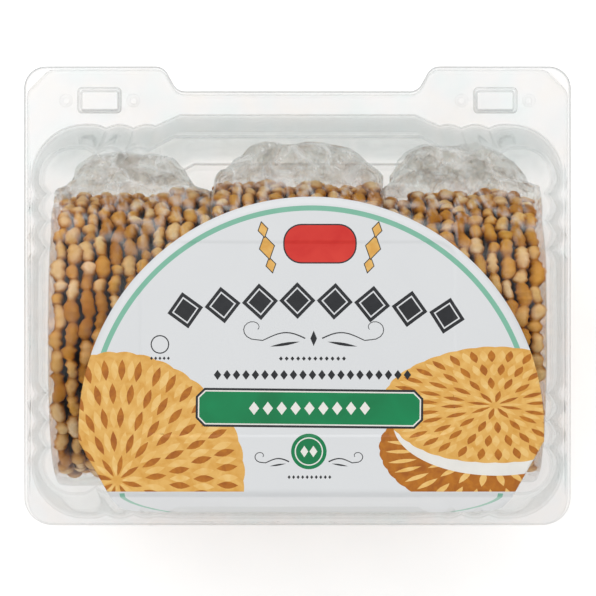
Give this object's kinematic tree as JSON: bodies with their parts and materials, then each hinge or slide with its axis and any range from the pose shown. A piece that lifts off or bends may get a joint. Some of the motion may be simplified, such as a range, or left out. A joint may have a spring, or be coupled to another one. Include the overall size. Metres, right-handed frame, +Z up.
{
  "type": "clamshell pack of pizzelle wafer cookies",
  "caption": "Shut clear plastic clamshell of round waffle cookies standing on edge in film pouches, with a paper label over its front and hinge side; lies on its back.",
  "frame": {"origin": "middle of the pack's outline, on the ground under its back panel", "axes": "+Z up, from the back panel to the labelled front; +Y from the hinge to the lock tabs; +X along the rows of wafers, to the right as the label is read"},
  "size_m": [0.2, 0.168, 0.1151],
  "materials": {
    "clear_plastic": "clear, glossy, thermoformed",
    "clear_film": "clear, glossy, crinkled",
    "label_paper": "satin, printed",
    "wafer_crust": "dry, baked, rough"
  },
  "bodies": {
    "root": {"base_shell": "clear_plastic", "lid_shell": "clear_plastic", "label": "label_paper", "pouch_left": "clear_film", "pouch_middle": "clear_film", "pouch_right": "clear_film", "wafer_01": "wafer_crust", "wafer_02": "wafer_crust", "wafer_03": "wafer_crust", "wafer_04": "wafer_crust", "wafer_05": "wafer_crust", "wafer_06": "wafer_crust", "wafer_07": "wafer_crust", "wafer_08": "wafer_crust", "wafer_09": "wafer_crust", "wafer_10": "wafer_crust", "wafer_11": "wafer_crust", "wafer_12": "wafer_crust", "wafer_13": "wafer_crust", "wafer_14": "wafer_crust", "wafer_15": "wafer_crust", "wafer_16": "wafer_crust", "wafer_17": "wafer_crust", "wafer_18": "wafer_crust", "wafer_19": "wafer_crust", "wafer_20": "wafer_crust", "wafer_21": "wafer_crust", "wafer_22": "wafer_crust", "wafer_23": "wafer_crust", "wafer_24": "wafer_crust", "wafer_25": "wafer_crust", "wafer_26": "wafer_crust", "wafer_27": "wafer_crust", "wafer_28": "wafer_crust", "wafer_29": "wafer_crust", "wafer_30": "wafer_crust", "wafer_31": "wafer_crust", "wafer_32": "wafer_crust", "wafer_33": "wafer_crust", "wafer_34": "wafer_crust"}
  },
  "joints": []
}
